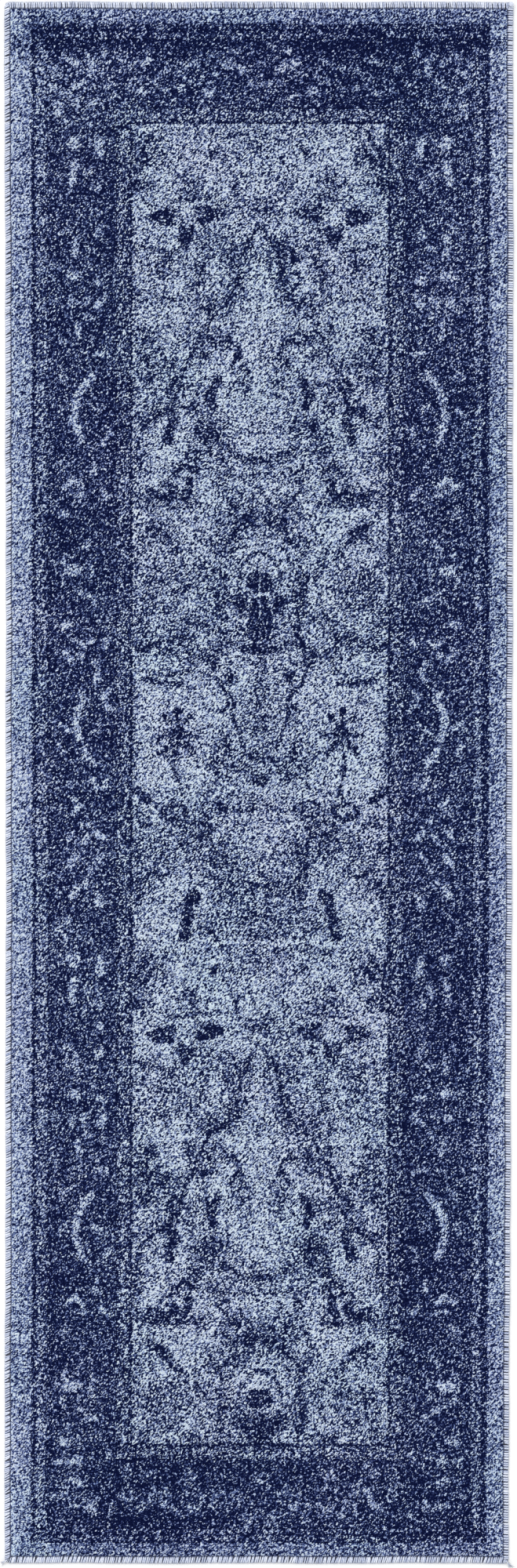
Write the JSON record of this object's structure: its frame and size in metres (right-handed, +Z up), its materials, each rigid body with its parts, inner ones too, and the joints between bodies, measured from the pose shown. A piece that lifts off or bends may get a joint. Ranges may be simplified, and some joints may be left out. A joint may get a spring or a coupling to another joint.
{
  "type": "runner rug",
  "caption": "Long narrow woven pile rug with a mottled blue floral field inside dark borders and light bands, serged with pale yarn along every edge.",
  "frame": {"origin": "on the floor plane, under the middle of the rug's length and width", "axes": "+X across the rug to its right-hand side, +Y along the rug towards its head end, +Z up out of the floor through the pile"},
  "size_m": [0.79, 2.434, 0.0114],
  "materials": {
    "latex": "thin matte latex size coat on the back, the weave showing through",
    "weft": "matte spun weft, dry and slightly hairy",
    "warp": "matte natural spun warp",
    "light_pile": "cut pile in light blue with darker tufts, soft sheen at grazing angles",
    "speckled_pile": "cut pile in navy speckled with pale blue tufts",
    "navy_pile": "cut pile, mostly navy, with scattered pale blue tufts drawing blossoms and vines",
    "field_pile": "cut pile, light and mid blue stippled with navy motifs",
    "serging": "pale grey-blue twisted yarn wrapped side by side",
    "needle_thread": "fine dark sewing thread, slight sheen"
  },
  "bodies": {
    "root": {"latex_back_coat": "latex", "lower_weft": "weft", "warp_ends": "warp", "upper_weft": "weft", "serging_left": "serging", "serging_right": "serging", "serging_foot": "serging", "serging_head": "serging", "needle_thread_left": "needle_thread", "needle_thread_right": "needle_thread", "needle_thread_foot": "needle_thread", "needle_thread_head": "needle_thread", "outer_band_left": "light_pile", "outer_band_right": "light_pile", "outer_band_foot": "light_pile", "outer_band_head": "light_pile", "outer_guard_left": "speckled_pile", "outer_guard_right": "speckled_pile", "outer_guard_foot": "speckled_pile", "outer_guard_head": "speckled_pile", "main_border_left": "navy_pile", "main_border_right": "navy_pile", "main_border_foot": "navy_pile", "main_border_head": "navy_pile", "inner_guard_left": "speckled_pile", "inner_guard_right": "speckled_pile", "inner_guard_foot": "speckled_pile", "inner_guard_head": "speckled_pile", "field": "field_pile", "corner_knot": "serging", "yarn_tail_foot_left": "serging", "yarn_tail_foot_right": "serging"}
  },
  "joints": []
}
